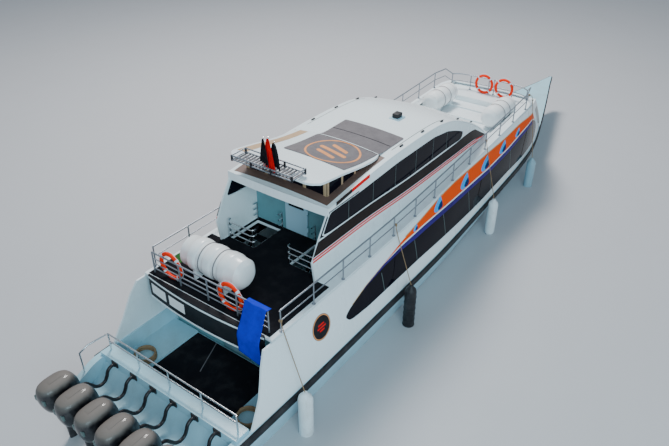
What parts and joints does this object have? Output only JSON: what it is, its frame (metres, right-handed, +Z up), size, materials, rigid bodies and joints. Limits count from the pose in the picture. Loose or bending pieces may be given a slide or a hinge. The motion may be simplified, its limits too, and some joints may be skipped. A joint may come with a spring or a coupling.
{
  "type": "passenger ferry",
  "caption": "Fast passenger ferry with outboards in a row, a long dark window band and a small upper cabin with a raised canopy.",
  "frame": {"origin": "on the waterline, on the centreline, amidships", "axes": "+X to the bow, +Y to port, +Z up"},
  "size_m": [23.965, 4.8391, 6.44],
  "materials": {
    "gelcoat_white": "glossy glass-fibre gelcoat",
    "dark_glass": "near-black tinted",
    "stainless": "polished tube",
    "strake_rubber": "black, scuffed",
    "hose_rubber": "black, smooth",
    "raft_shell": "white, ribbed shell",
    "buoy_plastic": "red-orange with white bands",
    "fender_vinyl": "white or black, scuffed",
    "banner_board": "black, satin",
    "tarp_fabric": "royal-blue woven cover",
    "rope_fibre": "tan laid rope",
    "bracket_paint": "black, satin",
    "engine_paint": "black, faded on top",
    "prop_steel": "polished steel"
  },
  "bodies": {
    "boat": {"hull": "gelcoat_white", "cabin_side_stbd": "gelcoat_white", "cabin_side_port": "gelcoat_white", "cabin_front": "gelcoat_white", "cabin_bulkhead": "gelcoat_white", "upper_deck": "gelcoat_white", "vip_side_stbd": "gelcoat_white", "vip_side_port": "gelcoat_white", "vip_roof": "gelcoat_white", "vip_bulkhead": "gelcoat_white", "canopy": "gelcoat_white", "cabin_glass_stbd": "dark_glass", "cabin_glass_port": "dark_glass", "windscreen": "dark_glass", "vip_glass_stbd": "dark_glass", "vip_glass_port": "dark_glass", "vip_windscreen": "dark_glass", "clerestory": "dark_glass", "stair_port": "stainless", "stair_stbd": "stainless", "deck_rail_stbd": "stainless", "deck_rail_port": "stainless", "aft_rail": "stainless", "well_rail": "stainless", "rub_strake": "strake_rubber", "rigging_hoses": "hose_rubber", "rafts_fore": "raft_shell", "raft_aft": "raft_shell", "lifebuoy_aft_port": "buoy_plastic", "lifebuoy_aft_stbd": "buoy_plastic", "lifebuoy_fore_port": "buoy_plastic", "lifebuoy_fore_stbd": "buoy_plastic", "fender_stbd_1": "fender_vinyl", "fender_stbd_2": "fender_vinyl", "fender_stbd_3": "fender_vinyl", "fender_stbd_4": "fender_vinyl", "aft_fascia": "banner_board", "tarp": "tarp_fabric", "rope_coil_port": "rope_fibre", "rope_coil_stbd": "rope_fibre", "clamp_brackets": "bracket_paint"},
    "vip_door": {"vip_door": "gelcoat_white"},
    "swivel_1": {"swivel_1": "bracket_paint"},
    "outboard_1": {"outboard_1": "engine_paint"},
    "prop_1": {"prop_1": "prop_steel"},
    "swivel_2": {"swivel_2": "bracket_paint"},
    "outboard_2": {"outboard_2": "engine_paint"},
    "prop_2": {"prop_2": "prop_steel"},
    "swivel_3": {"swivel_3": "bracket_paint"},
    "outboard_3": {"outboard_3": "engine_paint"},
    "prop_3": {"prop_3": "prop_steel"},
    "swivel_4": {"swivel_4": "bracket_paint"},
    "outboard_4": {"outboard_4": "engine_paint"},
    "prop_4": {"prop_4": "prop_steel"},
    "swivel_5": {"swivel_5": "bracket_paint"},
    "outboard_5": {"outboard_5": "engine_paint"},
    "prop_5": {"prop_5": "prop_steel"},
    "swivel_6": {"swivel_6": "bracket_paint"},
    "outboard_6": {"outboard_6": "engine_paint"},
    "prop_6": {"prop_6": "prop_steel"}
  },
  "joints": [
    {"name": "tilt_1", "type": "hinge", "parent": "boat", "child": "swivel_1", "pos_m": [-11.69, 1.5775, 0.76], "axis": [0, 1, 0], "range_deg": [0, 60], "deforming": ["rigging_hoses"]},
    {"name": "steer_1", "type": "hinge", "parent": "swivel_1", "child": "outboard_1", "pos_m": [-11.86, 1.5775, 0.5], "axis": [0, 0, 1], "range_deg": [-25, 25]},
    {"name": "prop_spin_1", "type": "hinge", "parent": "outboard_1", "child": "prop_1", "pos_m": [-12.42, 1.5775, -0.56], "axis": [1, 0, 0], "continuous": true},
    {"name": "tilt_2", "type": "hinge", "parent": "boat", "child": "swivel_2", "pos_m": [-11.69, 0.9465, 0.76], "axis": [0, 1, 0], "range_deg": [0, 60]},
    {"name": "steer_2", "type": "hinge", "parent": "swivel_2", "child": "outboard_2", "pos_m": [-11.86, 0.9465, 0.5], "axis": [0, 0, 1], "range_deg": [-25, 25]},
    {"name": "prop_spin_2", "type": "hinge", "parent": "outboard_2", "child": "prop_2", "pos_m": [-12.42, 0.9465, -0.56], "axis": [1, 0, 0], "continuous": true},
    {"name": "tilt_3", "type": "hinge", "parent": "boat", "child": "swivel_3", "pos_m": [-11.69, 0.3155, 0.76], "axis": [0, 1, 0], "range_deg": [0, 60]},
    {"name": "steer_3", "type": "hinge", "parent": "swivel_3", "child": "outboard_3", "pos_m": [-11.86, 0.3155, 0.5], "axis": [0, 0, 1], "range_deg": [-25, 25]},
    {"name": "prop_spin_3", "type": "hinge", "parent": "outboard_3", "child": "prop_3", "pos_m": [-12.42, 0.3155, -0.56], "axis": [1, 0, 0], "continuous": true},
    {"name": "tilt_4", "type": "hinge", "parent": "boat", "child": "swivel_4", "pos_m": [-11.69, -0.3155, 0.76], "axis": [0, 1, 0], "range_deg": [0, 60]},
    {"name": "steer_4", "type": "hinge", "parent": "swivel_4", "child": "outboard_4", "pos_m": [-11.86, -0.3155, 0.5], "axis": [0, 0, 1], "range_deg": [-25, 25]},
    {"name": "prop_spin_4", "type": "hinge", "parent": "outboard_4", "child": "prop_4", "pos_m": [-12.42, -0.3155, -0.56], "axis": [1, 0, 0], "continuous": true},
    {"name": "tilt_5", "type": "hinge", "parent": "boat", "child": "swivel_5", "pos_m": [-11.69, -0.9465, 0.76], "axis": [0, 1, 0], "range_deg": [0, 60]},
    {"name": "steer_5", "type": "hinge", "parent": "swivel_5", "child": "outboard_5", "pos_m": [-11.86, -0.9465, 0.5], "axis": [0, 0, 1], "range_deg": [-25, 25]},
    {"name": "prop_spin_5", "type": "hinge", "parent": "outboard_5", "child": "prop_5", "pos_m": [-12.42, -0.9465, -0.56], "axis": [1, 0, 0], "continuous": true},
    {"name": "tilt_6", "type": "hinge", "parent": "boat", "child": "swivel_6", "pos_m": [-11.69, -1.5775, 0.76], "axis": [0, 1, 0], "range_deg": [0, 60]},
    {"name": "steer_6", "type": "hinge", "parent": "swivel_6", "child": "outboard_6", "pos_m": [-11.86, -1.5775, 0.5], "axis": [0, 0, 1], "range_deg": [-25, 25]},
    {"name": "prop_spin_6", "type": "hinge", "parent": "outboard_6", "child": "prop_6", "pos_m": [-12.42, -1.5775, -0.56], "axis": [1, 0, 0], "continuous": true},
    {"name": "vip_door_swing", "type": "hinge", "parent": "boat", "child": "vip_door", "pos_m": [-6.208, -0.254, 3.35], "axis": [0, 0, 1], "range_deg": [0, 110]}
  ],
  "couplings": [
    {"joint": "steer_2", "follows": "steer_1", "ratio": 1},
    {"joint": "steer_3", "follows": "steer_1", "ratio": 1},
    {"joint": "steer_4", "follows": "steer_1", "ratio": 1},
    {"joint": "steer_5", "follows": "steer_1", "ratio": 1},
    {"joint": "steer_6", "follows": "steer_1", "ratio": 1}
  ]
}
